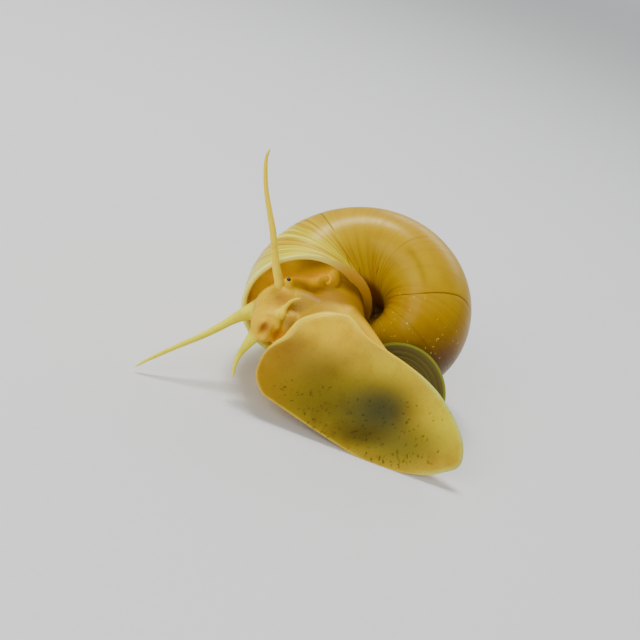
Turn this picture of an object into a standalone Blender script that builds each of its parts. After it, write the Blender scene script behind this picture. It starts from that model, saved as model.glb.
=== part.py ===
"""An apple snail at life size, as it creeps with its head and tentacles stretched out.

Every piece is drawn in the sole's frame: the sole is flat in the XY plane, Z points out of
the sole, and +Y is the way up that the animal was going. The last step leans the whole
animal back until it lies on its shell and the edge of its tail, sole to the front.
Sizes are in millimetres, and MM turns them into metres.
"""

import math

import bmesh
import bpy
import numpy as np
from mathutils import Matrix, Vector

MM = 0.001
GAP = 0.3
TURN = 2 * math.pi

# Directions of the creeping animal in the sole's plane
FORWARD = Vector((-0.81, 0.586, 0.0)).normalized()
LEFT = Vector((FORWARD.y, -FORWARD.x, 0.0))
OUT = Vector((0.0, 0.0, 1.0))

# Shell: an ellipse that grows as it winds down round an axis, right-handed
WHORL_GROWTH = 2.011
WHORL_COUNT = 3.6
TUBE_RADIUS = 12.24
TUBE_DROP = 29.61
TUBE_HALF_WIDTH = 11.51
TUBE_HALF_HEIGHT = 15.45
TUBE_SLANT = math.radians(-4.2)
SHELL_WALL = 1.0
SHELL_SIDES = 28
SEGMENT_WHORLS = 0.6
RINGS_PER_WHORL = 17 / SEGMENT_WHORLS
JOINT_INSET = 0.12
CAVITY_WHORLS = 0.3
CAVITY_BEYOND_WHORLS = 0.03
APEX_AT = Vector((18.59, -10.47, -36.97))
SHELL_SPIN = math.radians(13.7)
SHELL_TILT = math.radians(-140.25)
SHELL_ROLL = math.radians(210.9)

# Core: the solid pillar round the axis, which leaves the umbilicus open below it
CORE_BASE_HEIGHT = -18.0
CORE_BASE_RADIUS = 1.1
CORE_TIP_HEIGHT = -1.5
CORE_TIP_RADIUS = 0.3
CORE_SIDES = 12
APEX_CAP_AT = Vector((0.0, 0.0, -1.95))
APEX_CAP_HALF_SIZES = (1.15, 1.15, 0.95)

# Foot: the edge of the sole, clockwise from the front of the head side
SOLE_EDGE = [
    (-6.0, -2.4),
    (-3.6, 0.1),
    (0.0, 1.25),
    (3.7, 1.1),
    (5.5, 0.4),
    (8.1, -2.7),
    (11.4, -5.1),
    (14.9, -7.5),
    (18.5, -10.5),
    (21.2, -13.8),
    (23.6, -18.3),
    (24.4, -21.9),
    (23.6, -25.0),
    (20.3, -26.1),
    (17.6, -26.4),
    (12.2, -25.6),
    (6.8, -23.6),
    (1.7, -20.5),
    (-2.7, -17.6),
    (-8.1, -13.9),
    (-10.0, -12.4),
    (-11.0, -9.5),
    (-10.3, -6.8),
    (-8.8, -4.6),
]
SOLE_SAMPLES = 60
MIDLINE_FRONT = Vector((-1.5, -6.0, 0.0))
MIDLINE_TAIL = Vector((17.0, -20.5, 0.0))
FOOT_THICKNESS_FRONT = 3.8
FOOT_THICKNESS_TAIL = 3.0
# Share of the way from midline to edge, and share of the foot's thickness there
FOOT_SECTION = [
    (0.12, 1.0),
    (0.4, 0.93),
    (0.65, 0.76),
    (0.83, 0.54),
    (0.94, 0.36),
    (1.0, 0.2),
    (0.985, 0.06),
]
SOLE_FLAT_SHARE = 0.95

# Operculum: a thin oval dish on the back of the tail
OPERCULUM_AT = Vector((13.1, -13.1, -6.6))
OPERCULUM_HALF_LENGTH = 9.5
OPERCULUM_HALF_WIDTH = 8.9
OPERCULUM_THICKNESS = 0.9
OPERCULUM_TILT = math.radians(13.0)
OPERCULUM_DISH = 0.8
OPERCULUM_RINGS = 6
OPERCULUM_SIDES = 32
OPERCULUM_STEP = 0.12
LOBE_HALF_SIZES = (5.4, 4.6, 3.0)

# Neck, from the foot and from the head into the shell: places and radii
FOOT_COLUMN = [
    ((1.5, -4.9, -2.6), 6.3),
    ((1.0, -2.2, -8.0), 7.1),
    ((0.2, 0.0, -13.0), 7.9),
    ((-0.8, 3.6, -18.0), 8.4),
    ((-1.6, 6.6, -20.6), 8.2),
]
HEAD_COLUMN = [
    ((-6.4, 2.6, -6.8), 4.1),
    ((-4.4, 2.6, -11.0), 5.2),
    ((-3.0, 3.4, -16.0), 6.8),
]
FLANK = [
    ((4.4, 0.4, -5.0), 2.7),
    ((6.7, -1.9, -4.2), 2.2),
    ((8.3, -3.7, -3.6), 1.9),
    ((9.9, -5.4, -3.0), 1.5),
    ((11.6, -7.1, -2.5), 1.1),
]
NAPE = [((-5.2, 3.8, -7.0), 2.4), ((-3.3, 2.8, -6.3), 2.7), ((-0.6, 1.2, -5.7), 3.1)]

# Mantle: the flesh that lines the shell's mouth
MANTLE_FRONT_WHORLS = 0.03
MANTLE_BACK_WHORLS = 0.27

# Siphon: the left neck lobe, with its edge rolled into a rim
SIPHON_RIM = [
    ((-0.4, 8.4, -10.7), 0.62),
    ((0.7, 9.2, -10.4), 0.7),
    ((1.95, 9.1, -10.1), 0.75),
    ((2.85, 8.2, -9.8), 0.75),
    ((3.05, 6.95, -9.3), 0.75),
    ((2.45, 5.8, -8.5), 0.7),
    ((1.2, 5.4, -8.0), 0.62),
]
SIPHON_LOBE_AT = Vector((1.4, 7.2, -10.6))
SIPHON_LOBE_HALF_SIZES = (1.9, 2.1, 1.6)
POCKET_PLAY = 0.1

# Head and snout
HEAD_AT = Vector((-7.7, 2.2, -6.3))
HEAD_HALF_SIZES = (3.72, 4.73, 4.02)
SNOUT_PATH = [((-8.2, 1.2, -5.6), 3.3), ((-9.0, -0.4, -3.6), 3.0), ((-9.3, -1.2, -2.2), 2.6)]
MOUTH_AT = Vector((-9.6, -1.6, 0.25))
MOUTH_SLIT_HALF_SIZES = (0.3, 1.1, 1.0)
LIP_HALF_SIZES = (0.64, 1.52, 0.7)
LIP_OFFSET = 0.75

# Tentacles, palps and eye stalks: places and radii from the root to the tip
LEFT_TENTACLE = [
    ((-7.1, 5.0, -5.2), 0.95),
    ((-7.1, 6.9, -3.8), 0.85),
    ((-7.5, 8.9, -2.9), 0.72),
    ((-7.8, 12.2, -2.4), 0.64),
    ((-8.1, 15.5, -2.1), 0.58),
    ((-8.7, 19.0, -1.9), 0.5),
    ((-9.2, 22.4, -1.8), 0.42),
    ((-9.3, 25.7, -1.7), 0.36),
    ((-9.1, 27.9, -1.6), 0.3),
    ((-8.5, 29.3, -1.6), 0.16),
]
RIGHT_TENTACLE = [
    ((-10.4, 2.3, -7.8), 1.7),
    ((-12.3, 1.4, -7.2), 1.4),
    ((-14.0, 0.7, -6.2), 1.05),
    ((-15.7, -0.2, -5.6), 0.8),
    ((-17.4, -1.2, -5.0), 0.69),
    ((-20.7, -2.9, -3.6), 0.56),
    ((-24.1, -4.35, -2.5), 0.45),
    ((-27.3, -5.8, -1.5), 0.38),
    ((-29.8, -7.0, -0.9), 0.28),
    ((-31.3, -7.9, -0.5), 0.16),
]
LEFT_PALP = [
    ((-7.4, 0.3, -2.6), 0.9),
    ((-6.5, 1.1, -2.2), 0.68),
    ((-5.9, 2.2, -2.0), 0.45),
    ((-5.1, 3.05, -1.9), 0.36),
    ((-4.2, 3.5, -1.8), 0.28),
    ((-3.3, 3.65, -1.8), 0.16),
]
RIGHT_PALP = [
    ((-10.6, -2.0, -2.4), 1.4),
    ((-12.0, -3.6, -2.0), 0.95),
    ((-12.9, -4.7, -1.8), 0.7),
    ((-13.7, -5.8, -1.6), 0.52),
    ((-14.3, -7.0, -1.5), 0.42),
    ((-14.7, -8.3, -1.4), 0.33),
    ((-14.8, -9.8, -1.4), 0.16),
]
TENTACLE_LENGTHS = ("base", "middle", "tip")
TENTACLE_SAMPLES = 8
LEFT_EYE_STALK = [((-5.5, 5.3, -6.4), 1.2), ((-5.4, 6.0, -5.5), 1.15), ((-5.42, 6.6, -4.6), 0.87)]
RIGHT_EYE_STALK = [((-10.4, 2.2, -9.0), 1.25), ((-11.6, 1.5, -10.4), 1.1), ((-12.1, 1.2, -11.0), 0.95)]
EYE_RADIUS = 0.42
EYE_SUNK = 0.1

# Rest: how the sole's frame turns before the animal is set on the floor
LEAN_BACK = math.radians(22.0)
ROLL = math.radians(20.5)
FLAT_DEPTH = 0.45
FLOOR_SIZE = 200.0

COLOURS = {
    "shell": ((0.78, 0.42, 0.03, 1.0), 0.3),
    "operculum": ((0.3, 0.28, 0.12, 1.0), 0.5),
    "flesh": ((0.85, 0.66, 0.3, 1.0), 0.4),
    "mantle": ((0.85, 0.42, 0.06, 1.0), 0.4),
    "eye": ((0.01, 0.01, 0.01, 1.0), 0.1),
}


def clear_scene():
    for thing in list(bpy.data.objects):
        bpy.data.objects.remove(thing, do_unlink=True)


def new_collection(name):
    found = bpy.data.collections.new(name)
    bpy.context.scene.collection.children.link(found)
    return found


def material(name):
    """The Principled material of one part of the animal, made once."""
    found = bpy.data.materials.get(name)
    if found is None:
        colour, roughness = COLOURS[name]
        found = bpy.data.materials.new(name)
        found.use_nodes = True
        shader = found.node_tree.nodes["Principled BSDF"]
        shader.inputs["Base Color"].default_value = colour
        shader.inputs["Roughness"].default_value = roughness
        shader.inputs["Metallic"].default_value = 0.0
        found.diffuse_color = colour
    return found


def add_mesh(name, shape, home):
    """Puts a bmesh into the scene as an object, in triangles turned outwards."""
    bmesh.ops.triangulate(shape, faces=shape.faces)
    bmesh.ops.recalc_face_normals(shape, faces=shape.faces)
    mesh = bpy.data.meshes.new(name)
    shape.to_mesh(mesh)
    shape.free()
    thing = bpy.data.objects.new(name, mesh)
    home.objects.link(thing)
    return thing


def loft(name, rings, home):
    """A closed solid through rings of millimetre points, its two ends closed flat."""
    shape = bmesh.new()
    rows = [[shape.verts.new(Vector(point) * MM) for point in ring] for ring in rings]
    for low, high in zip(rows, rows[1:]):
        count = len(low)
        for i in range(count):
            j = (i + 1) % count
            shape.faces.new((low[i], low[j], high[j], high[i]))
    shape.faces.new(reversed(rows[0]))
    shape.faces.new(rows[-1])
    return add_mesh(name, shape, home)


def ellipsoid(name, centre, half_sizes, axes, home, segments=24):
    """A sphere stretched to its half sizes along three axes."""
    shape = bmesh.new()
    bmesh.ops.create_uvsphere(shape, u_segments=segments, v_segments=segments // 2, radius=1.0)
    stretch = Matrix.Diagonal([size * MM for size in half_sizes]).to_4x4()
    turn = Matrix(axes).transposed().to_4x4()
    bmesh.ops.transform(shape, matrix=Matrix.Translation(centre * MM) @ turn @ stretch, verts=shape.verts)
    return add_mesh(name, shape, home)


def between(a, b, c, d, share):
    """A point of the smooth curve between b and c, which a and d come before and after."""
    bend = (2 * a - 5 * b + 4 * c - d) * share**2 + (3 * b - a - 3 * c + d) * share**3
    return 0.5 * (2 * b + (c - a) * share + bend)


def smooth_path(stations, samples):
    """Points and radii on one smooth curve through the stations, evenly spaced."""
    knots = np.array([(*place, radius) for place, radius in stations])
    padded = np.vstack([2 * knots[0] - knots[1], knots, 2 * knots[-1] - knots[-2]])
    fine = []
    for a, b, c, d in zip(padded, padded[1:], padded[2:], padded[3:]):
        fine += [between(a, b, c, d, share) for share in np.linspace(0, 1, 12, endpoint=False)]
    fine = np.array(fine + [knots[-1]])
    along = np.concatenate([[0], np.cumsum(np.linalg.norm(np.diff(fine[:, :3], axis=0), axis=1))])
    wanted = np.linspace(0, along[-1], samples)
    return np.stack([np.interp(wanted, along, fine[:, k]) for k in range(4)], axis=1)


def tube(name, rows, home, resolution=3):
    """A round tube through points with radii, made as a bevelled curve and turned into a mesh."""
    curve = bpy.data.curves.new(name, "CURVE")
    curve.dimensions = "3D"
    curve.bevel_depth = MM
    curve.bevel_resolution = resolution
    curve.use_fill_caps = True
    spline = curve.splines.new("POLY")
    spline.points.add(len(rows) - 1)
    for point, (x, y, z, radius) in zip(spline.points, rows):
        point.co = (x * MM, y * MM, z * MM, 1.0)
        point.radius = radius
    guide = bpy.data.objects.new(name, curve)
    home.objects.link(guide)
    graph = bpy.context.evaluated_depsgraph_get()
    mesh = bpy.data.meshes.new_from_object(guide.evaluated_get(graph))
    bpy.data.objects.remove(guide, do_unlink=True)
    shape = bmesh.new()
    shape.from_mesh(mesh)
    bmesh.ops.remove_doubles(shape, verts=shape.verts, dist=0.001 * MM)
    return add_mesh(name, shape, home)


def bake(thing):
    """Keeps what an object's modifiers make of its mesh."""
    graph = bpy.context.evaluated_depsgraph_get()
    mesh = bpy.data.meshes.new_from_object(thing.evaluated_get(graph))
    thing.modifiers.clear()
    thing.data = mesh


def keep_largest(thing):
    """Drops every loose scrap and inner bubble, and keeps the largest closed surface."""
    shape = bmesh.new()
    shape.from_mesh(thing.data)
    left = set(shape.verts)
    islands = []
    while left:
        island = set()
        todo = [left.pop()]
        while todo:
            vert = todo.pop()
            island.add(vert)
            for edge in vert.link_edges:
                other = edge.other_vert(vert)
                if other in left:
                    left.remove(other)
                    todo.append(other)
        islands.append(island)
    islands.sort(key=len)
    for island in islands[:-1]:
        bmesh.ops.delete(shape, geom=list(island), context="VERTS")
    shape.to_mesh(thing.data)
    shape.free()


def boolean(thing, operation, cutters):
    """Joins or cuts an object with others, which are then removed.

    The exact solver leaves open edges where these curved skins lie close, so this uses the manifold one.
    """
    pool = bpy.data.collections.new("pool")
    for cutter in cutters:
        pool.objects.link(cutter)
    step = thing.modifiers.new(operation.lower(), "BOOLEAN")
    step.operation = operation
    step.operand_type = "COLLECTION"
    step.collection = pool
    step.solver = "MANIFOLD"
    bake(thing)
    for cutter in cutters:
        bpy.data.objects.remove(cutter, do_unlink=True)
    bpy.data.collections.remove(pool)
    keep_largest(thing)


def grown(thing, home, by=GAP):
    """A copy of a solid whose skin lies further out by the gap, to cut its neighbour with."""
    copy = bpy.data.objects.new(thing.name + "_grown", thing.data.copy())
    home.objects.link(copy)
    swell = copy.modifiers.new("swell", "DISPLACE")
    swell.mid_level = 0.0
    swell.strength = by * MM
    bake(copy)
    return copy


def shell_point(turns, angle, inset):
    """A point of the whorl's tube, in the shell's own frame with its apex at the origin."""
    scale = WHORL_GROWTH**turns
    across = (TUBE_HALF_WIDTH - inset / scale) * math.cos(angle)
    along = (TUBE_HALF_HEIGHT - inset / scale) * math.sin(angle)
    x = across * math.cos(TUBE_SLANT) - along * math.sin(TUBE_SLANT)
    y = across * math.sin(TUBE_SLANT) + along * math.cos(TUBE_SLANT)
    radius = (TUBE_RADIUS + x) * scale
    heading = -turns * TURN
    return Vector((radius * math.cos(heading), radius * math.sin(heading), (y - TUBE_DROP) * scale))


def shell_frame():
    """Carries the shell's own frame into the sole's frame."""
    turn = Matrix.Rotation(SHELL_ROLL, 3, "Z") @ Matrix.Rotation(SHELL_TILT, 3, "X")
    return turn @ Matrix.Rotation(SHELL_SPIN, 3, "Z")


def whorl_tube(name, start, end, inset, home, drawn_in=(False, False)):
    """The whorl's tube between two turns, both counted from the aperture and negative inside it.

    An end that is drawn in crosses the skin of the next length, so no two skins coincide.
    """
    frame = shell_frame()
    count = max(3, round((end - start) * RINGS_PER_WHORL) + 1)
    angles = [TURN * i / SHELL_SIDES for i in range(SHELL_SIDES)]
    rings = []
    for k, turns in enumerate(np.linspace(start, end, count)):
        at_joint = (k == 0 and drawn_in[0]) or (k == count - 1 and drawn_in[1])
        depth = inset + (JOINT_INSET * WHORL_GROWTH**turns if at_joint else 0.0)
        rings.append([frame @ shell_point(turns, angle, depth) + APEX_AT for angle in angles])
    return loft(name, rings, home)


def make_shell(home, cutters):
    """Lengths of whorl joined round a core, hollow behind the mouth and open at the umbilicus."""
    step = 1 / RINGS_PER_WHORL
    starts = np.arange(-WHORL_COUNT, -SEGMENT_WHORLS / 2, SEGMENT_WHORLS)
    lengths = [whorl_tube("whorl", starts[0], starts[1], 0.0, cutters, (False, True))]
    for start in starts[1:-1]:
        lengths.append(whorl_tube("whorl", start - step, start + SEGMENT_WHORLS, 0.0, cutters, (True, True)))
    shell = whorl_tube("shell", starts[-1] - step, 0.0, 0.0, home, (True, False))
    frame = shell_frame()
    core = []
    for height, radius in ((CORE_BASE_HEIGHT, CORE_BASE_RADIUS), (CORE_TIP_HEIGHT, CORE_TIP_RADIUS)):
        angles = [TURN * (i + 0.37) / CORE_SIDES for i in range(CORE_SIDES)]
        ring = [Vector((radius * math.cos(angle), radius * math.sin(angle), height)) for angle in angles]
        core.append([frame @ point + APEX_AT for point in ring])
    axes = [frame @ Vector(axis) for axis in ((1, 0, 0), (0, 1, 0), (0, 0, 1))]
    apex = ellipsoid("apex", frame @ APEX_CAP_AT + APEX_AT, APEX_CAP_HALF_SIZES, axes, cutters, segments=16)
    boolean(shell, "UNION", lengths + [loft("core", core, cutters), apex])
    cavity = whorl_tube("cavity", -CAVITY_WHORLS, CAVITY_BEYOND_WHORLS, SHELL_WALL, cutters)
    parietal = whorl_tube("parietal", -CAVITY_WHORLS - 1.1, -0.9, 0.0, cutters)
    boolean(cavity, "DIFFERENCE", [parietal])
    boolean(shell, "DIFFERENCE", [cavity])
    return shell


def make_mantle(home, cutters):
    inset = SHELL_WALL + GAP
    mantle = whorl_tube("mantle", -MANTLE_BACK_WHORLS, -MANTLE_FRONT_WHORLS, inset, home)
    parietal = whorl_tube("parietal", -MANTLE_BACK_WHORLS - 1.1, -0.9, -GAP, cutters)
    boolean(mantle, "DIFFERENCE", [parietal])
    return mantle


def sole_ring(share, rise):
    """The sole's edge drawn in towards the midline, at a share of the foot's thickness."""
    knots = [Vector((x, y, 0.0)) for x, y in SOLE_EDGE]
    count = len(knots)
    edge = []
    for i in range(count):
        a, b, c, d = (knots[(i + k) % count] for k in (-1, 0, 1, 2))
        edge += [between(a, b, c, d, share) for share in np.linspace(0, 1, 10, endpoint=False)]
    points = np.array([tuple(p) for p in edge + [edge[0]]])
    along = np.concatenate([[0], np.cumsum(np.linalg.norm(np.diff(points, axis=0), axis=1))])
    midline = MIDLINE_TAIL - MIDLINE_FRONT
    ring = []
    for wanted in np.linspace(0, along[-1], SOLE_SAMPLES, endpoint=False):
        point = Vector([np.interp(wanted, along, points[:, k]) for k in range(3)])
        station = min(1.0, max(0.0, (point - MIDLINE_FRONT).dot(midline) / midline.length_squared))
        middle = MIDLINE_FRONT + midline * station
        thickness = FOOT_THICKNESS_FRONT + (FOOT_THICKNESS_TAIL - FOOT_THICKNESS_FRONT) * station
        ring.append(middle.lerp(point, share) - OUT * rise * thickness)
    return ring


def operculum_frame():
    """Rows are the operculum's length, width and outward direction."""
    length = (LEFT * math.cos(OPERCULUM_TILT) - OUT * math.sin(OPERCULUM_TILT)).normalized()
    width = -FORWARD
    return length, width, length.cross(width).normalized()


def make_operculum(home):
    """An oval dish of low concentric steps."""
    length, width, normal = operculum_frame()
    if normal.z > 0:
        normal = -normal
    rings = []
    for side in (0.0, OPERCULUM_THICKNESS):
        shares = np.linspace(0.1, 1.0, OPERCULUM_RINGS)
        rows = []
        for k, share in enumerate(shares):
            height = side + OPERCULUM_DISH * (1 - share**2) + OPERCULUM_STEP * (k % 2)
            ring = []
            for i in range(OPERCULUM_SIDES):
                angle = TURN * i / OPERCULUM_SIDES
                place = length * OPERCULUM_HALF_LENGTH * share * math.cos(angle)
                place += width * OPERCULUM_HALF_WIDTH * share * math.sin(angle)
                ring.append(OPERCULUM_AT + place + normal * height)
            rows.append(ring)
        rings.append(rows)
    return loft("operculum", rings[0] + rings[1][::-1], home)


def make_foot(home, cutters, operculum):
    rings = [sole_ring(share, rise) for share, rise in FOOT_SECTION]
    rings.append(sole_ring(SOLE_FLAT_SHARE, 0.0))
    foot = loft("foot", rings, home)
    lobe_at = OPERCULUM_AT + OUT * 1.6
    lobe = ellipsoid("lobe", lobe_at, LOBE_HALF_SIZES, (FORWARD, LEFT, FORWARD.cross(LEFT)), cutters)
    boolean(foot, "UNION", [lobe])
    boolean(foot, "DIFFERENCE", [grown(operculum, cutters)])
    return foot


def siphon_lobe(home, by=0.0):
    """The rounded lobe under the siphon's rim, larger all round by some millimetres."""
    across = (Vector((1, 0, 0)), Vector((0, 1, 0)), Vector((0, 0, 1)))
    half_sizes = [size + by for size in SIPHON_LOBE_HALF_SIZES]
    return ellipsoid("lobe", SIPHON_LOBE_AT, half_sizes, across, home, segments=16)


def make_neck(home, cutters, neighbours):
    """The foot's column, the stalk of the head, the nape and the flank, with a pocket for the siphon."""
    neck = tube("neck", smooth_path(FOOT_COLUMN, 12), home, resolution=9)
    stalk = tube("stalk", smooth_path(HEAD_COLUMN, 8), cutters, resolution=7)
    nape = tube("nape", smooth_path(NAPE, 6), cutters, resolution=5)
    flank = tube("flank", smooth_path(FLANK, 9), cutters, resolution=4)
    boolean(neck, "UNION", [stalk, nape, flank])
    for neighbour in neighbours:
        boolean(neck, "DIFFERENCE", [grown(neighbour, cutters)])
    boolean(neck, "DIFFERENCE", [siphon_lobe(cutters, GAP + POCKET_PLAY)])
    return neck


def make_head(home, cutters, neighbours):
    across = (FORWARD, LEFT, FORWARD.cross(LEFT))
    head = ellipsoid("head", HEAD_AT, HEAD_HALF_SIZES, across, home)
    snout = tube("snout", smooth_path(SNOUT_PATH, 7), cutters, resolution=8)
    tip_at = Vector(SNOUT_PATH[-1][0])
    tip_radius = SNOUT_PATH[-1][1]
    tip = ellipsoid("tip", tip_at, (tip_radius, tip_radius, 1.9), across, cutters)
    boolean(head, "UNION", [snout, tip])
    lips = []
    for side in (-1, 1):
        place = MOUTH_AT + FORWARD * side * LIP_OFFSET - OUT * 0.75
        lips.append(ellipsoid("lip", place, LIP_HALF_SIZES, across, cutters, segments=16))
    boolean(head, "UNION", lips)
    slit = ellipsoid("slit", MOUTH_AT - OUT * 0.3, MOUTH_SLIT_HALF_SIZES, across, cutters, segments=12)
    boolean(head, "DIFFERENCE", [slit])
    for neighbour in neighbours:
        boolean(head, "DIFFERENCE", [grown(neighbour, cutters)])
    return head


def make_siphon(home, cutters, neighbours):
    """The lobe that rolls into a breathing tube, with a raised rim."""
    siphon = tube("siphon", smooth_path(SIPHON_RIM, 13), home, resolution=2)
    boolean(siphon, "UNION", [siphon_lobe(cutters)])
    for neighbour in neighbours:
        boolean(siphon, "DIFFERENCE", [grown(neighbour, cutters)])
    return siphon


def make_feeler(name, stations, samples, home, cutters, neighbours):
    """A soft tapering feeler whose root is cut to the skin that it grows from."""
    feeler = tube(name, smooth_path(stations, samples), home)
    for neighbour in neighbours:
        boolean(feeler, "DIFFERENCE", [grown(neighbour, cutters)])
    return feeler


def make_tentacle(side, stations, home, cutters, neighbours):
    """A tentacle in three lengths, with the gap between them."""
    fine = smooth_path(stations, 400)
    along = np.concatenate([[0], np.cumsum(np.linalg.norm(np.diff(fine[:, :3], axis=0), axis=1))])
    cuts = np.linspace(0, along[-1], len(TENTACLE_LENGTHS) + 1)
    made = []
    for name, start, end in zip(TENTACLE_LENGTHS, cuts, cuts[1:]):
        low = start + (GAP / 2 if start > 0 else 0)
        high = end - (GAP / 2 if end < along[-1] else 0)
        wanted = np.linspace(low, high, TENTACLE_SAMPLES)
        rows = np.stack([np.interp(wanted, along, fine[:, k]) for k in range(4)], axis=1)
        made.append(tube(f"tentacle_{side}_{name}", rows, home))
    for neighbour in neighbours:
        boolean(made[0], "DIFFERENCE", [grown(neighbour, cutters)])
    return made


def make_eye(side, stations, home, cutters, neighbours):
    """A short stalk with a small round eye sunk in its tip."""
    tip = Vector(stations[-1][0])
    way = (tip - Vector(stations[0][0])).normalized()
    radius = stations[-1][1]
    across = (Vector((1, 0, 0)), Vector((0, 1, 0)), Vector((0, 0, 1)))
    eye_at = tip + way * (radius - EYE_RADIUS + EYE_SUNK)
    eye = ellipsoid(f"eye_{side}", eye_at, (EYE_RADIUS,) * 3, across, home, segments=12)
    stalk = tube(f"eyestalk_{side}", smooth_path(stations, 5), home, resolution=4)
    cap = ellipsoid("cap", tip, (radius,) * 3, across, cutters, segments=18)
    boolean(stalk, "UNION", [cap])
    boolean(stalk, "DIFFERENCE", [grown(eye, cutters)])
    for neighbour in neighbours:
        boolean(stalk, "DIFFERENCE", [grown(neighbour, cutters)])
    return stalk, eye


def lay_down(parts, cutters):
    """Leans the animal back, sets it on the floor and grinds its contact points flat."""
    upright = Matrix(((1, 0, 0), (0, 0, -1), (0, 1, 0)))
    turn = Matrix.Rotation(-LEAN_BACK, 3, "X") @ upright @ Matrix.Rotation(ROLL, 3, "Z")
    corners = [turn @ vert.co for part in parts for vert in part.data.vertices]
    low = [min(corner[k] for corner in corners) for k in range(3)]
    high = [max(corner[k] for corner in corners) for k in range(3)]
    shift = Vector((-(low[0] + high[0]) / 2, -(low[1] + high[1]) / 2, -low[2] - FLAT_DEPTH * MM))
    rest = bpy.data.objects.new("rest", None)
    bpy.context.scene.collection.objects.link(rest)
    rest.matrix_world = Matrix.Translation(shift) @ turn.to_4x4()
    for part in parts:
        part.parent = rest
    bpy.ops.mesh.primitive_cube_add(size=FLOOR_SIZE * MM, location=(0, 0, -FLOOR_SIZE * MM / 2))
    floor = bpy.context.object
    floor.name = "floor"
    for home in list(floor.users_collection):
        home.objects.unlink(floor)
    cutters.objects.link(floor)
    floor.hide_render = True
    floor.display_type = "WIRE"
    for part in parts:
        if part.name in ("shell", "foot"):
            grind = part.modifiers.new("flats", "BOOLEAN")
            grind.operation = "DIFFERENCE"
            grind.object = floor
            grind.solver = "MANIFOLD"


clear_scene()
animal = new_collection("apple_snail")
tools = new_collection("cutters")

shell = make_shell(animal, tools)
mantle = make_mantle(animal, tools)
operculum = make_operculum(animal)
foot = make_foot(animal, tools, operculum)
neck = make_neck(animal, tools, (operculum, foot, mantle, shell))
make_siphon(animal, tools, (mantle, shell, neck))
head = make_head(animal, tools, (neck, shell))
make_feeler("palp_left", LEFT_PALP, 10, animal, tools, (head,))
make_feeler("palp_right", RIGHT_PALP, 11, animal, tools, (head,))
left_tentacle = make_tentacle("left", LEFT_TENTACLE, animal, tools, (head,))
right_tentacle = make_tentacle("right", RIGHT_TENTACLE, animal, tools, (head,))
make_eye("left", LEFT_EYE_STALK, animal, tools, (head, left_tentacle[0], neck))
make_eye("right", RIGHT_EYE_STALK, animal, tools, (head, right_tentacle[0], neck, shell))

lay_down(list(animal.objects), tools)

FINISH = {
    "shell": "shell",
    "mantle": "mantle",
    "siphon": "mantle",
    "operculum": "operculum",
    "eye_left": "eye",
    "eye_right": "eye",
}
for part in animal.objects:
    part.data.materials.clear()
    part.data.materials.append(material(FINISH.get(part.name, "flesh")))
    part.data.shade_smooth()
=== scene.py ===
"""The looks of a still, life-size apple snail that lies on its shell and shows its sole.

Every piece is drawn in the sole's frame, in millimetres: the sole is flat in the XY plane,
Z points out of the sole towards the camera, and +Y is the way up that the animal was going.
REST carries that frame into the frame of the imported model, in metres.
"""

import math

import bmesh
import bpy
import numpy as np
from mathutils import Matrix, Vector


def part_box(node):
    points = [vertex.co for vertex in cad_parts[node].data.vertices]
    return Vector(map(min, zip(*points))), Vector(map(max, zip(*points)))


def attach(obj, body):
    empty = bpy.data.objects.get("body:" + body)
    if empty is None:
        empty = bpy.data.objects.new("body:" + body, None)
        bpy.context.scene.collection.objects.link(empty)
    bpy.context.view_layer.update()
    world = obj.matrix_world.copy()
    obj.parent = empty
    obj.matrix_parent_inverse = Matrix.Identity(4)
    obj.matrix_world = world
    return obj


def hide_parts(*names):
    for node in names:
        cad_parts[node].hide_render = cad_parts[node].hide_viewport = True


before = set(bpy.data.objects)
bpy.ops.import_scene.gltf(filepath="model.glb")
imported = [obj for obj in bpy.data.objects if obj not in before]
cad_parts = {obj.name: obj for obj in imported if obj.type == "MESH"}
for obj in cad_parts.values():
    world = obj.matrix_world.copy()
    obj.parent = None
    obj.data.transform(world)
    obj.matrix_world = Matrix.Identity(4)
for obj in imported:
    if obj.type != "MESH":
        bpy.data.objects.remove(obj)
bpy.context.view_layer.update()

MM = 0.001
TURN = 2 * math.pi

# Rest: how the sole's frame is turned to lie on the floor
LEAN_BACK = math.radians(22.0)
ROLL = math.radians(20.5)

# Camera: straight in front of the sole, at the distance the photo's proportions ask for
CAMERA_DISTANCE = 210.0
FRAME_WIDTH = 108.47
SENSOR_WIDTH = 36.0

# Directions of the creeping animal in the sole's plane
FORWARD = Vector((-0.81, 0.586, 0.0)).normalized()
LEFT = Vector((FORWARD.y, -FORWARD.x, 0.0))
OUT = Vector((0.0, 0.0, 1.0))
BODY_AXES = (FORWARD, LEFT, FORWARD.cross(LEFT))
PLAIN_AXES = (Vector((1, 0, 0)), Vector((0, 1, 0)), Vector((0, 0, 1)))

# Lights in the sole's frame, as place, width and power: a key overhead, where the gloss on the shell
# places it, and a wide weak fill in front, both turned to one place inside the animal
LIGHTS = {
    "key": ((90.0, 590.0, 40.0), 190.0, 3.5),
    "fill": ((-170.0, 160.0, 480.0), 360.0, 1.7),
}
LIT_PLACE = (0.0, 0.0, -10.0)
# A light for the floor far behind, in metres in the model's frame, the sky and the floor
FAR_AT = (1.6, 4.2, 1.8)
FAR_SIZE = 3.6
FAR_POWER = 110.0
SKY_COLOUR = (0.9, 0.93, 1.0, 1.0)
SKY_STRENGTH = 0.36
FLOOR_RADIUS = 6.0

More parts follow.
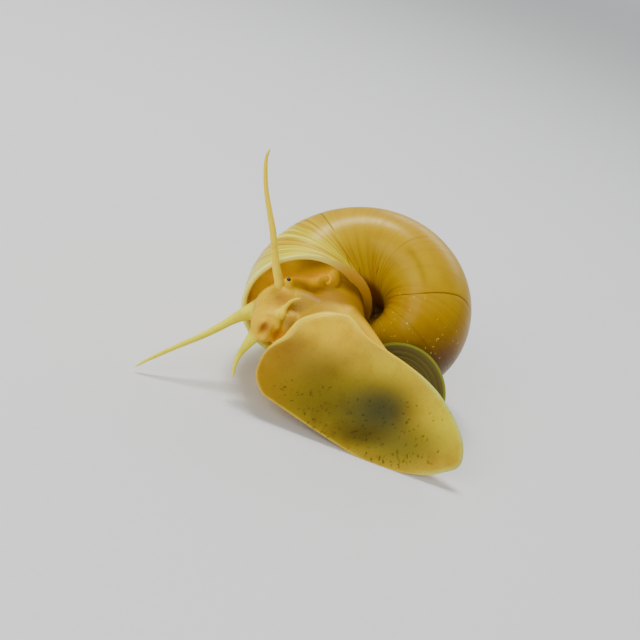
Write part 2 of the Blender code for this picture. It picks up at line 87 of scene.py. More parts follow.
# Shell: an ellipse that grows as it winds down round an axis, right-handed
WHORL_GROWTH = 2.011
WHORL_COUNT = 3.6
TUBE_RADIUS = 12.24
TUBE_DROP = 29.61
TUBE_HALF_WIDTH = 11.51
TUBE_HALF_HEIGHT = 15.45
TUBE_SLANT = math.radians(-4.2)
APEX_AT = np.array((18.59, -10.47, -36.97))
SHELL_SPIN = math.radians(13.7)
SHELL_TILT = math.radians(-140.25)
SHELL_ROLL = math.radians(210.9)
LIP_WALL = 0.85
MOUTH_WHORLS = 0.24
SHELL_MARGIN = 0.11
# Its mesh: rings of points up to the old whorls' end, to the ridged one and to the lip's rim, rings
# round the lip and into the mouth, and how deep in another whorl a face goes unseen
SHELL_SIDES = 216
SHELL_RINGS = (300, 420, 299)
OLD_WHORLS = 1.2
RIM_WHORLS = 0.006
LIP_RINGS = 13
MOUTH_RINGS = 60
HIDDEN_MARGIN = 0.03
# The pillar and the cap that close it, in the shell's own frame
CORE_RADIUS = 1.15
CORE = [((0.0, 0.0, -18.0), CORE_RADIUS), ((0.0, 0.0, -1.5), 0.3)]
APEX_CAP_AT = Vector((0.0, 0.0, -1.95))
APEX_CAP_HALF_SIZES = (1.15, 1.15, 0.95)

# Lip: how far and over how much of a whorl it is rolled out, its pale band in millimetres, and the
# degrees round the whorl where both are widest, by the umbilicus
LIP_FLARE = 0.24
LIP_FLARE_WIDER = 0.6
LIP_FLARE_WHORLS = 0.016
LIP_THICKER = 0.7
LIP_THICKER_WHORLS = 0.05
LIP_BAND = 0.8
LIP_BAND_WIDER = 1.3
LIP_WIDEST_AT = 188.0
LIP_WIDE_FOR = 34.0

# Growth ridges: how far back they are crisp and how far they waver, in whorls, their heights in
# millimetres where they are faint and what is added where they are crisp
RIDGED_WHORLS = 0.24
RIDGE_SAMPLES = 4000
RIDGE_WAVER = 0.0035
RIDGE_FAINT = 0.012
RIDGE_CRISPER = 0.085
# Rest lines: the depth and width of their groove, and for each how many whorls behind the lip, how
# dark, how far it sweeps back to the umbilicus, and the degrees round the whorl below which it fades
REST_DEPTH = 0.07
REST_WHORLS = 0.0016
REST_LINES = [
    (-0.209, 1.0, 0.0, 264),
    (-0.433, 0.3, 0.0, 212),
    (-0.544, 0.85, -0.062, 222),
    (-0.671, 0.3, 0.0, 226),
    (-0.83, 0.5, 0.0, 180),
    (-1.13, 0.8, 0.0, 180),
    (-1.62, 0.6, 0.0, 180),
]
# Scratches and faint stripes: turns and degrees round the whorl at each end, width in whorls, darkness
SCRATCHES = [
    ((-0.194, 234), (-0.127, 211), 0.0026, 1.0),
    ((-0.247, 223), (-0.186, 208), 0.0022, 0.9),
    ((-0.385, 225), (-0.404, 237), 0.0024, 0.7),
    ((-0.43, 278), (-0.575, 294), 0.012, 0.25),
]

# Foot: the edge of the sole, clockwise from the front of the head side
SOLE_EDGE = (
    [(-6.0, -2.4), (-3.6, 0.1), (0.0, 1.25), (3.7, 1.1), (5.5, 0.4), (8.1, -2.7)]
    + [(11.4, -5.1), (14.9, -7.5), (18.5, -10.5), (21.2, -13.8), (23.6, -18.3), (24.4, -21.9)]
    + [(23.6, -25.0), (20.3, -26.1), (17.6, -26.4), (12.2, -25.6), (6.8, -23.6), (1.7, -20.5)]
    + [(-2.7, -17.6), (-8.1, -13.9), (-10.0, -12.4), (-11.0, -9.5), (-10.3, -6.8), (-8.8, -4.6)]
)
SOLE_SAMPLES = 260
CURVE_STEPS = 12
MIDLINE_FRONT = Vector((-1.5, -6.0, 0.0))
MIDLINE_TAIL = Vector((17.0, -20.5, 0.0))
FOOT_THICKNESS_FRONT = 3.8
FOOT_THICKNESS_TAIL = 3.0
# Its section, as share of the way from midline to edge, and share of the foot's thickness there
FOOT_BACK = [(0.12, 1.0), (0.4, 0.93), (0.65, 0.76), (0.83, 0.54), (0.94, 0.36), (0.985, 0.24)]
FOOT_SOLE = [(1.0, 0.16), (0.995, 0.08), (0.98, 0.02), (0.95, 0.0), (0.91, 0.012), (0.84, 0.02)]

# Operculum: a thin oval dish on the back of the tail
OPERCULUM_AT = Vector((13.1, -13.1, -6.6))
OPERCULUM_HALF_LENGTH = 9.5
OPERCULUM_HALF_WIDTH = 8.9
OPERCULUM_THICKNESS = 0.63
OPERCULUM_TILT = math.radians(13.0)
OPERCULUM_DISH = 0.8
OPERCULUM_RELIEF = 0.05
OPERCULUM_RINGS = 160
OPERCULUM_SIDES = 180
# The lobe under it and the lobe's broad root: how far out of the operculum, and half sizes
LOBE_RISE = 1.6
LOBE_HALF_SIZES = (5.4, 4.6, 3.0)
LOBE_ROOT_RISE = 3.2
LOBE_ROOT_HALF_SIZES = (6.8, 4.8, 1.7)

# Neck, from the foot and from the head into the shell: places and radii
FOOT_COLUMN = [
    ((1.5, -4.9, -2.6), 6.3),
    ((1.0, -2.2, -8.0), 7.1),
    ((0.2, 0.0, -13.0), 7.9),
    ((-0.8, 3.6, -18.0), 8.4),
    ((-1.6, 6.6, -20.6), 8.2),
]
HEAD_COLUMN = [((-6.4, 2.6, -6.8), 4.1), ((-4.4, 2.6, -11.0), 5.2), ((-3.0, 3.4, -16.0), 6.8)]
FLANK = [
    ((4.4, 0.4, -5.0), 2.7),
    ((6.7, -1.9, -4.2), 2.2),
    ((8.3, -3.7, -3.6), 1.9),
    ((9.9, -5.4, -3.0), 1.5),
    ((11.6, -7.1, -2.5), 1.1),
]
NAPE = [((-5.2, 3.8, -7.0), 2.4), ((-3.3, 2.8, -6.3), 2.7), ((-0.6, 1.2, -5.7), 3.1)]
CHIN_FOLD = [((-5.0, -0.2, -3.8), 1.7), ((-6.3, -1.9, -3.6), 1.5), ((-7.3, -3.3, -3.4), 1.2)]

# Mantle and siphon in the shell's mouth
MANTLE_FRONT_WHORLS = 0.018
MANTLE_BACK_WHORLS = 0.22
MANTLE_INSET = 0.8
MANTLE_BULGE = 0.55
MANTLE_SIDES = 120
SIPHON_RIM = [
    ((-0.4, 8.4, -10.7), 0.72),
    ((0.7, 9.2, -10.2), 0.78),
    ((1.85, 9.0, -9.8), 0.8),
    ((2.65, 8.15, -9.4), 0.8),
    ((2.8, 6.95, -8.9), 0.8),
    ((2.3, 5.85, -8.3), 0.76),
    ((1.25, 5.45, -7.9), 0.68),
    ((0.35, 6.0, -8.2), 0.62),
    ((0.3, 7.0, -8.9), 0.56),
    ((1.1, 7.35, -9.0), 0.46),
]
SIPHON_LOBE_AT = Vector((1.4, 7.2, -10.7))
SIPHON_LOBE_HALF_SIZES = (1.9, 2.1, 1.5)

# Head and snout
HEAD_AT = Vector((-7.7, 2.2, -6.3))
HEAD_HALF_SIZES = (3.72, 4.73, 4.02)
SNOUT_PATH = [((-8.2, 1.2, -5.6), 3.3), ((-9.0, -0.4, -3.6), 3.0), ((-9.3, -1.2, -2.2), 2.6)]
SNOUT_TIP_DEPTH = 1.9
MOUTH_AT = Vector((-9.6, -1.6, 0.25))
MOUTH_LIP_HALF_SIZES = (0.64, 1.52, 0.7)
MOUTH_LIP_OFFSET = 0.75
MOUTH_LIP_DEPTH = 0.75

# Tentacles, palps and eye stalks: places and radii from the root to the tip
LEFT_TENTACLE = [
    ((-7.1, 5.0, -5.2), 0.95),
    ((-7.1, 6.9, -3.8), 0.85),
    ((-7.5, 8.9, -2.9), 0.72),
    ((-7.8, 12.2, -2.4), 0.64),
    ((-8.1, 15.5, -2.1), 0.58),
    ((-8.7, 19.0, -1.9), 0.5),
    ((-9.2, 22.4, -1.8), 0.42),
    ((-9.3, 25.7, -1.7), 0.36),
    ((-9.1, 27.9, -1.6), 0.3),
    ((-8.5, 29.2, -1.6), 0.16),
]
RIGHT_TENTACLE = [
    ((-10.4, 2.3, -7.8), 1.7),
    ((-12.3, 1.4, -7.2), 1.4),
    ((-14.0, 0.7, -6.2), 1.05),
    ((-15.7, -0.2, -5.6), 0.8),
    ((-17.4, -1.2, -5.0), 0.69),
    ((-20.7, -2.9, -3.6), 0.56),
    ((-24.1, -4.35, -2.5), 0.45),
    ((-27.3, -5.8, -1.5), 0.38),
    ((-29.8, -7.0, -0.9), 0.28),
    ((-31.3, -7.9, -0.5), 0.16),
]
LEFT_PALP = [
    ((-7.4, 0.3, -2.6), 0.9),
    ((-6.5, 1.1, -2.2), 0.68),
    ((-5.9, 2.2, -2.0), 0.45),
    ((-5.1, 3.05, -1.9), 0.36),
    ((-4.2, 3.5, -1.8), 0.28),
    ((-3.3, 3.65, -1.8), 0.16),
]
RIGHT_PALP = [
    ((-10.6, -2.0, -2.4), 1.4),
    ((-12.0, -3.6, -2.0), 0.95),
    ((-12.9, -4.7, -1.8), 0.7),
    ((-13.7, -5.8, -1.6), 0.52),
    ((-14.3, -7.0, -1.5), 0.42),
    ((-14.7, -8.3, -1.4), 0.33),
    ((-14.8, -9.8, -1.4), 0.16),
]
FEELERS = (LEFT_TENTACLE, RIGHT_TENTACLE, LEFT_PALP, RIGHT_PALP)
LEFT_EYE_STALK = [((-5.5, 5.3, -6.4), 1.2), ((-5.4, 6.0, -5.5), 1.15), ((-5.42, 6.6, -4.6), 0.87)]
RIGHT_EYE_STALK = [((-10.4, 2.2, -9.0), 1.25), ((-11.6, 1.5, -10.4), 1.1), ((-12.1, 1.2, -11.0), 0.95)]
EYE_RADIUS = 0.42
EYE_SUNK = 0.1
EYE_ROUND = 0.97
EYE_BULGE = 0.025

# Skin: the fineness of its surface, and how far each round of relaxing evens it out, in general, by
# the feelers and on the sole
FLESH_VOXEL = 0.16
RELAX_ROUNDS = 14
RELAX_SHARE = 0.5
FEELER_RELAX_SHARE = 0.06
SOLE_RELAX_SHARE = 0.2
# Small forms on the head, as place, reach and rise, and the wrinkles across it
HEAD_FORMS = [
    ((-6.8, 0.7, -1.9), (1.5, 1.4, 1.8), 0.4),
    ((-6.9, 3.6, -3.4), (1.9, 1.8, 2.6), -0.45),
    ((-9.4, -1.4, -0.3), (1.6, 1.3, 1.6), -0.12),
    ((-9.9, -3.0, -0.9), (1.4, 0.9, 1.6), 0.35),
    ((-7.0, -2.5, -1.4), (2.0, 1.1, 1.8), -0.45),
]
WRINKLE_AT = (-9.0, 2.9, -2.6)
WRINKLE_RADII = (1.7, 1.9, 4.0)
WRINKLE_WAY = (-0.15, 0.99, 0.0)
WRINKLE_PITCH = 0.52
WRINKLE_DEPTH = 0.09

# Dark flecks on the sole: fields of fine ones as place, reach and share, and fields of single
# dashes as two corners, how many, how long and which way they lie
FLECK_FIELDS = [
    ((-3.0, -13.5, 0.0), (8.0, 6.0, 3.0), 0.75),
    ((4.0, -18.0, 0.0), (7.0, 4.5, 3.0), 0.9),
    ((11.5, -16.0, 0.0), (4.6, 4.2, 3.0), 1.0),
    ((15.0, -23.6, 0.0), (7.0, 2.6, 3.0), 0.9),
    ((19.0, -17.5, 0.0), (5.0, 5.5, 3.0), 0.45),
]
DASH_FIELDS = [
    ((-8.5, -16.5), (2.0, -10.0), 30, 0.35, 0.4),
    ((-3.0, -20.0), (6.0, -14.0), 34, 0.4, 0.7),
    ((4.5, -22.0), (15.0, -13.5), 46, 0.45, 0.6),
    ((7.5, -25.2), (19.0, -22.4), 34, 0.8, 1.5),
    ((14.0, -23.0), (22.5, -13.5), 26, 0.4, 1.2),
]


def eye_place(stations):
    """Where an eye sits, sunk in the tip of its stalk."""
    tip = Vector(stations[-1][0])
    way = (tip - Vector(stations[0][0])).normalized()
    return tip + way * (stations[-1][1] - EYE_RADIUS + EYE_SUNK), way


def rest_matrix():
    """The sole's frame at rest on the floor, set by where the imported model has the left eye."""
    upright = Matrix(((1, 0, 0), (0, 0, -1), (0, 1, 0)))
    turn = Matrix.Rotation(-LEAN_BACK, 3, "X") @ upright @ Matrix.Rotation(ROLL, 3, "Z")
    low, high = (Vector(corner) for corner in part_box("eye_left"))
    shift = (low + high) / 2 - turn @ (eye_place(LEFT_EYE_STALK)[0] * MM)
    return Matrix.Translation(shift) @ turn.to_4x4()


REST = rest_matrix()


class Look:
    """A procedural material, built node by node round its Principled shader."""

    def __init__(self, name):
        self.material = bpy.data.materials.new(name)
        self.material.use_nodes = True
        self.tree = self.material.node_tree
        self.shader = self.tree.nodes["Principled BSDF"]

    def feed(self, node, inputs):
        """Gives a node's inputs other nodes' outputs or plain values."""
        for key, value in inputs.items():
            if isinstance(value, bpy.types.NodeSocket):
                self.tree.links.new(value, node.inputs[key])
            else:
                node.inputs[key].default_value = value

    def add(self, kind, output, inputs=None, **settings):
        """A new node's output."""
        node = self.tree.nodes.new(kind)
        for key, value in settings.items():
            setattr(node, key, value)
        self.feed(node, inputs or {})
        return node.outputs[output]

    def maths(self, operation, first, second=0.0):
        """The result of a sum on two numbers."""
        return self.add("ShaderNodeMath", 0, {0: first, 1: second}, operation=operation)

    def times(self, first, second):
        """The product of two numbers."""
        return self.maths("MULTIPLY", first, second)

    def step(self, value, low, high):
        """Rises smoothly from 0 to 1 as the value goes from low to high."""
        inputs = {"Value": value, "From Min": low, "From Max": high}
        return self.add("ShaderNodeMapRange", "Result", inputs, interpolation_type="SMOOTHSTEP")

    def mix(self, share, first, second, way="MIX"):
        """Goes from one colour to another, by a share from 0 to 1."""
        inputs = {"Factor": share, 6: first, 7: second}
        return self.add("ShaderNodeMix", 2, inputs, data_type="RGBA", blend_type=way)

    def shaded(self, share, colour, tint):
        """Multiplies a colour by a tint, by a share from 0 to 1."""
        return self.mix(share, colour, (*tint, 1.0), "MULTIPLY")

    def part(self, vector, index):
        """One of the three numbers of a vector."""
        return self.add("ShaderNodeSeparateXYZ", index, {"Vector": vector})

    def place(self):
        """Coordinates on the piece itself, in metres."""
        return self.add("ShaderNodeTexCoord", "Object")

    def stretched(self, vector, scale):
        """Coordinates scaled by their own number along each axis."""
        return self.add("ShaderNodeMapping", "Vector", {"Vector": vector, "Scale": scale})

    def noise(self, vector, scale, detail=3.0, roughness=0.5):
        """Cloudy noise from 0 to 1."""
        inputs = {"Vector": vector, "Scale": scale, "Detail": detail, "Roughness": roughness}
        return self.add("ShaderNodeTexNoise", "Fac", inputs)

    def attribute(self, name, output="Fac"):
        """What the mesh keeps for each point under a name."""
        return self.add("ShaderNodeAttribute", output, attribute_name=name)

    def bump(self, height, depth_mm, below=None):
        """Raises the surface by the height times a depth, over what an earlier bump made."""
        inputs = {"Strength": 1.0, "Distance": depth_mm * MM, "Height": height}
        if below is not None:
            inputs["Normal"] = below
        return self.add("ShaderNodeBump", "Normal", inputs)

    def put(self, **inputs):
        """Feeds the shader's own inputs, named with _ for each space."""
        self.feed(self.shader, {key.replace("_", " "): value for key, value in inputs.items()})


def linear(red, green, blue):
    """A colour written as screen values from 0 to 255."""
    shares = [part / 255 for part in (red, green, blue)]
    return tuple(part / 12.92 if part <= 0.04045 else ((part + 0.055) / 1.055) ** 2.4 for part in shares)


def rgba(red, green, blue):
    """The same with a fourth part, as shaders take it."""
    return (*linear(red, green, blue), 1.0)


# Colours of the shell, and how far light scatters in it
SHELL_AMBER = linear(194, 156, 0)
SHELL_LEMON = linear(222, 204, 0)
SHELL_OLD = linear(186, 140, 0)
SHELL_SPIRE = linear(160, 104, 8)
SHELL_PALE = rgba(248, 252, 84)
LIP_CREAM = rgba(255, 248, 110)
LIP_TAN = rgba(234, 178, 50)
MOUTH_YELLOW = rgba(255, 206, 4)
GLOSS_YELLOW = (1.0, 0.86, 0.3, 1.0)
SHELL_SCATTER = (1.6 * MM, 0.8 * MM, 0.2 * MM)
# Tints of what darkens it, among them painted shade in the hollow of the umbilicus
CLOUD_TINT = (0.84, 0.74, 0.5)
STREAK_TINT = (0.86, 0.64, 0.1)
THREAD_TINT = (0.7, 0.52, 0.2)
REST_TINT = (0.4, 0.28, 0.2)
RAY_TINT = (0.6, 0.4, 0.2)
UMBILICUS_SHADE_TINT = (0.4, 0.22, 0.1)
SCRATCH_TINT = (0.12, 0.07, 0.05)
# Washes on the shell's lower side, away from the key light: partly its own brown, partly painted shade.
# Where in millimetres, how far they reach, screen colour and share
SHELL_BROWN_AND_SHADE_WASHES = [
    ((19.0, -7.6, -14.0), (15.0, 10.5, 14.0), (106, 64, 0), 1.0),
    ((22.5, -8.0, -17.0), (8.0, 5.5, 10.0), (80, 46, 0), 0.7),
]

# Colours of the flesh, and how far light scatters in it
SKIN = linear(234, 188, 10)
MANTLE_ORANGE = linear(255, 202, 0)
# Olive of the deep neck: partly its own colour, partly painted shade under the shell's lip
NECK_OLIVE_AND_SHADE = linear(156, 112, 0)
NECK_PALE = linear(186, 146, 22)
FEELER_PALE = linear(238, 234, 40)
FEELER_WARM = linear(250, 218, 36)
SOLE_TAN = linear(212, 174, 38)
SOLE_CREAM = linear(255, 220, 56)
TAIL_CREAM = linear(212, 216, 96)
FLECK = linear(48, 38, 6)
MOIST_YELLOW = (1.0, 0.9, 0.6, 1.0)
FLESH_SCATTER = (0.9 * MM, 0.7 * MM, 0.2 * MM)
CLOUDY_SKIN_TINT = (0.86, 0.8, 0.66)
GRAINY_SKIN_TINT = (0.9, 0.87, 0.78)
# Washes on the sole, in the order that they are laid
SOLE_WASHES = [
    ((2.5, -0.5, 0.0), (13.0, 6.5, 4.0), (250, 202, 4), 0.95),
    ((-5.0, -4.8, 0.0), (7.0, 4.4, 4.0), (158, 114, 30), 0.85),
    ((-9.0, -9.5, 0.0), (7.5, 11.0, 4.0), (164, 118, 0), 0.9),
    ((-0.5, -8.5, 0.0), (10.0, 5.6, 4.0), (142, 112, 30), 0.85),
    ((13.0, -8.0, 0.0), (9.0, 4.4, 4.0), (230, 200, 30), 0.8),
    ((22.5, -16.0, 0.0), (8.0, 10.0, 4.0), (232, 212, 24), 0.9),
    ((-1.5, -13.8, 0.0), (12.5, 9.0, 4.0), (112, 92, 2), 0.85),
    ((7.0, -15.6, 0.0), (15.0, 11.0, 4.0), (98, 90, 16), 0.85),
    ((14.0, -21.5, 0.0), (12.0, 6.5, 4.0), (108, 102, 32), 0.8),
    ((10.0, -15.4, 0.0), (9.2, 8.0, 4.0), (64, 67, 36), 0.75),
    ((11.4, -15.2, 0.0), (5.6, 5.0, 4.0), (52, 56, 34), 0.5),
    ((6.6, -19.4, 0.0), (8.0, 3.4, 4.0), (72, 58, 0), 0.75),
]
# Washes on the head: the first is partly browner skin and partly painted shade in the dip between the
# left tentacle and palp, the fifth is painted shade in the fold between the head and the sole
HEAD_COLOUR_AND_SHADE_WASHES = [
    ((-6.8, 3.7, -3.4), (2.8, 2.4, 3.0), (184, 128, 34), 0.85),
    ((-4.6, 2.2, -3.5), (3.4, 2.2, 3.0), (176, 140, 60), 0.8),
    ((-6.8, 0.8, -1.9), (1.6, 1.4, 2.0), (236, 200, 0), 0.8),
    ((-5.2, -0.6, -2.4), (2.6, 2.2, 2.4), (158, 118, 40), 0.85),
    ((-6.9, -2.6, -1.2), (2.6, 1.8, 2.6), (176, 108, 14), 0.9),
    ((-9.9, -3.1, -1.0), (1.6, 1.2, 2.0), (230, 176, 50), 0.7),
    ((-9.4, -1.3, -0.3), (2.0, 1.7, 2.0), (158, 84, 26), 0.9),
]

# Colours of the operculum, the eyes and the floor, as pairs that noise goes between
HORN_COLOURS = rgba(72, 64, 20), rgba(110, 98, 36)
HORN_RIM = rgba(136, 140, 40)
EYE_COLOURS = rgba(8, 6, 4), rgba(34, 22, 10)
FLOOR_COLOURS = rgba(226, 226, 224), rgba(232, 232, 230)


def smoothstep(low, high, value):
    """Rises smoothly from 0 to 1 as the value goes from low to high."""
    share = np.clip((value - low) / (high - low), 0.0, 1.0)
    return share * share * (3 - 2 * share)


def spot(points, centre, radii, soft):
    """1 at a place and 0 beyond its radii, with a soft edge."""
    return smoothstep(1.0, 1.0 - soft, np.linalg.norm((points - centre) / radii, axis=1))


def laid(colours, target, share):
    """Colours drawn towards one colour, each by its own share."""
    return colours + share[:, None] * (target - colours)


def washed(colours, points, washes, soft):
    """Colours with soft-edged washes laid over them, one after the other."""
    for centre, radii, screen_colour, share in washes:
        colours = laid(colours, linear(*screen_colour), share * spot(points, centre, radii, soft))
    return colours


def round_angles(count):
    """Even angles round one turn."""
    return np.linspace(0, TURN, count, endpoint=False)


def at_rest(points):
    """Points of the sole's frame, in millimetres, carried to the model's frame in metres."""
    matrix = np.array(REST)
    return np.asarray(points) * MM @ matrix[:3, :3].T + matrix[:3, 3]


def on_floor(points):
    """Flattens whatever would reach below the floor that the model rests on."""
    points[:, 2] = np.maximum(points[:, 2], 0.0)
    return points


def grid_faces(rows, columns):
    """Four-cornered faces between rings of points, each ring closed on itself."""
    index = np.arange(rows * columns).reshape(rows, columns)
    following = np.roll(index, -1, axis=1)
    return np.stack([index[:-1], following[:-1], following[1:], index[1:]], axis=-1).reshape(-1, 4)


def joined(pieces):
    """Points and faces of several meshes as one."""
    points = np.empty((0, 3))
    faces = []
    for own_points, own_faces in pieces:
        faces += [tuple(len(points) + index for index in face) for face in own_faces]
        points = np.concatenate([points, own_points])
    return points, faces


def new_object(name, data):
    """An object in the scene."""
    made = bpy.data.objects.new(name, data)
    bpy.context.scene.collection.objects.link(made)
    return made


def mesh_piece(name, points, faces):
    """An object from points and faces."""
    mesh = bpy.data.meshes.new(name)
    mesh.from_pydata(points, [], faces)
    mesh.validate()
    mesh.update()
    return new_object(name, mesh)


def finish_piece(piece, material, replaced):
    """Gives a piece its material and tells the frame what it is."""
    piece.data.materials.clear()
    piece.data.materials.append(material)
    piece.data.shade_smooth()
    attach(piece, "root")
    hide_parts(*replaced)


def keep_numbers(mesh, name, values):
    """Stores one number or one vector for each point of a mesh, for the material to read."""
    values = np.asarray(values, dtype=np.float32)
    single = values.size == len(mesh.vertices)
    kept = mesh.attributes.new(name, "FLOAT" if single else "FLOAT_VECTOR", "POINT")
    kept.data.foreach_set("value" if single else "vector", values.ravel())


def keep_paint(mesh, colours):
    """Stores a colour for each point of a mesh."""
    data = np.ones((len(colours), 4), dtype=np.float32)
    data[:, :3] = colours
    mesh.color_attributes.new("paint", "FLOAT_COLOR", "POINT").data.foreach_set("color", data.ravel())


def wander(seed, count, smooth):
    """A seeded row of numbers that rise and fall smoothly, from -1 to 1."""
    row = np.random.default_rng(seed).normal(size=count + 8 * smooth)
    kernel = np.hanning(2 * smooth + 1)
    row = np.convolve(row, kernel / kernel.sum(), mode="same")[4 * smooth : 4 * smooth + count]
    return row / np.abs(row).max()


def curve_steps(a, b, c, d):
    """Points from b up to c on a smooth curve that comes from a and goes on to d."""
    for t in np.linspace(0, 1, CURVE_STEPS, endpoint=False):
        bend = (2 * a - 5 * b + 4 * c - d) * t**2 + (3 * b - a - 3 * c + d) * t**3
        yield 0.5 * (2 * b + (c - a) * t + bend)


def evenly_spaced(rows, samples, endpoint=True):
    """Rows at even distances along a curve, measured on their first three columns."""
    along = np.concatenate([[0], np.cumsum(np.linalg.norm(np.diff(rows[:, :3], axis=0), axis=1))])
    wanted = np.linspace(0, along[-1], samples, endpoint=endpoint)
    return np.stack([np.interp(wanted, along, column) for column in rows.T], axis=1)


def smooth_path(stations, samples):
    """Points and radii on one smooth curve through the stations, evenly spaced."""
    knots = np.array([(*place, radius) for place, radius in stations])
    padded = np.vstack([2 * knots[0] - knots[1], knots, 2 * knots[-1] - knots[-2]])
    rows = []
    for stretch in zip(padded, padded[1:], padded[2:], padded[3:]):
        rows += curve_steps(*stretch)
    return evenly_spaced(np.array(rows + [knots[-1]]), samples)


# Shell


def shell_turn():
    """Carries the shell's own frame into the sole's frame."""
    turn = Matrix.Rotation(SHELL_ROLL, 3, "Z") @ Matrix.Rotation(SHELL_TILT, 3, "X")
    return np.array(turn @ Matrix.Rotation(SHELL_SPIN, 3, "Z"))


def whorl_section(turns, angles, inset):
    """Distance from the shell's axis and height along it, for points of the whorl's tube.

    Turns count from the lip and are negative behind it.
    """
    scale = WHORL_GROWTH**turns
    across = (TUBE_HALF_WIDTH - inset / scale) * np.cos(angles)
    along = (TUBE_HALF_HEIGHT - inset / scale) * np.sin(angles)
    radius = (TUBE_RADIUS + across * math.cos(TUBE_SLANT) - along * math.sin(TUBE_SLANT)) * scale
    height = (across * math.sin(TUBE_SLANT) + along * math.cos(TUBE_SLANT) - TUBE_DROP) * scale
    return radius, height


def shell_points(turns, angles, inset):
    """Points of the whorl's tube in the sole's frame."""
    radius, height = whorl_section(turns, angles, inset)
    heading = -turns * TURN
    own = np.stack([radius * np.cos(heading), radius * np.sin(heading), height], axis=-1)
    return own @ shell_turn().T + APEX_AT


def inside_whorl(turns, angles, whorls_back):
    """Whether points of the tube lie inside the whorl that passes there some whorls earlier."""
    radius, height = whorl_section(turns, angles, 0.0)
    other_turns = turns - whorls_back
    scale = WHORL_GROWTH**other_turns
    x = radius / scale - TUBE_RADIUS
    y = height / scale + TUBE_DROP
    p = (x * math.cos(TUBE_SLANT) + y * math.sin(TUBE_SLANT)) / (TUBE_HALF_WIDTH * (1 - HIDDEN_MARGIN))
    q = (y * math.cos(TUBE_SLANT) - x * math.sin(TUBE_SLANT)) / (TUBE_HALF_HEIGHT * (1 - HIDDEN_MARGIN))
    there = (other_turns >= -WHORL_COUNT) & (other_turns <= -MOUTH_WHORLS * (whorls_back < 0))
    return (p**2 + q**2 < 1) & there


def rest_line(line, turns, angles):
    """How many whorls each point lies past a rest line, and how dark the line is there."""
    at, darkness, sweep, fades = line
    degrees = np.degrees(angles) % 360
    swept = smoothstep(360.0, 245.0, np.where(degrees < 180, degrees + 360, degrees))
    shown = np.where(degrees < 180, 1.0, smoothstep(fades - 12.0, fades + 6.0, degrees))
    return turns - at - sweep * swept, darkness * shown


def lip_widening(angles):
    """1 where the lip is widest, by the umbilicus, and 0 on its far side."""
    return np.exp(-(((np.degrees(angles) - LIP_WIDEST_AT) / LIP_WIDE_FOR) ** 2))


def lip_flare(angles):
    """How far the lip is rolled out, in millimetres."""
    return LIP_FLARE + LIP_FLARE_WIDER * lip_widening(angles)


def growth_relief(turns, angles):
    """Height of the growth ridges in millimetres: crisp by the lip, faint further back."""
    table_turns = np.linspace(-WHORL_COUNT, 0.01, RIDGE_SAMPLES)
    slow = wander(13, 720, 40)
    warped = turns + RIDGE_WAVER * np.interp(np.degrees(angles) % 360, np.arange(720) / 2, slow)
    coarse = np.interp(warped, table_turns, wander(11, RIDGE_SAMPLES, 9))
    fine = np.interp(warped, table_turns, wander(12, RIDGE_SAMPLES, 3))
    crisp = smoothstep(-RIDGED_WHORLS, -0.03, turns)
    relief = (0.6 * coarse + 0.4 * fine) * (RIDGE_FAINT + RIDGE_CRISPER * crisp)
    for line in REST_LINES:
        past, darkness = rest_line(line, turns, angles)
        relief -= REST_DEPTH * darkness * np.exp(-((past / REST_WHORLS) ** 2))
    return relief + lip_flare(angles) * smoothstep(-LIP_FLARE_WHORLS, -0.25 * LIP_FLARE_WHORLS, turns)


def lip_rim(angles):
    """Rings that round off the lip, from its outside to its inside."""
    at_lip = np.zeros(len(angles))
    ahead = shell_points(at_lip, angles, 0.0) - shell_points(at_lip - 0.004, angles, 0.0)
    room = np.linalg.norm(ahead, axis=1)
    ahead = ahead / room[:, None]
    back = np.minimum(LIP_WALL / 2, room)
    rim = []
    flare = lip_flare(angles)
    wall = LIP_WALL + flare + LIP_THICKER * lip_widening(angles)
    for step in np.linspace(0, math.pi, LIP_RINGS):
        inset = SHELL_MARGIN - flare + wall / 2 * (1 - math.cos(step))
        reach = back * (math.sin(step) - 1)
        rim.append(shell_points(at_lip, angles, inset) + ahead * reach[:, None])
    return np.array(rim)


def scratch_marks(turns, angles):
    """How dark the scratches make each point of the shell."""
    degrees = np.degrees(angles) % 360
    dark = np.zeros(turns.shape)
    for (start_turn, start), (end_turn, end), width, darkness in SCRATCHES:
        along = np.clip((degrees - start) / (end - start), 0.0, 1.0)
        off = turns - start_turn - along * (end_turn - start_turn)
        reach = smoothstep(0.0, 0.15, along) * smoothstep(1.0, 0.8, along)
        if abs(end - start) < abs(end_turn - start_turn) * 360:
            along = np.clip((turns - start_turn) / (end_turn - start_turn), 0.0, 1.0)
            off = (degrees - start - along * (end - start)) / 360
            reach = smoothstep(0.0, 0.3, along) * smoothstep(1.0, 0.7, along)
        dark = np.maximum(dark, darkness * reach * np.exp(-((off / width) ** 2)))
    return dark


def shell_core():
    """The pillar that closes the umbilicus from inside, and the cap on the apex."""
    turn = Matrix(shell_turn().tolist())
    apex = Vector(APEX_AT)
    axes = [turn @ axis for axis in PLAIN_AXES]
    stations = [(turn @ Vector(place) + apex, radius) for place, radius in CORE]
    cap = ball_mesh(turn @ APEX_CAP_AT + apex, APEX_CAP_HALF_SIZES, axes)
    return tube_mesh(stations, 40, domed=False), cap


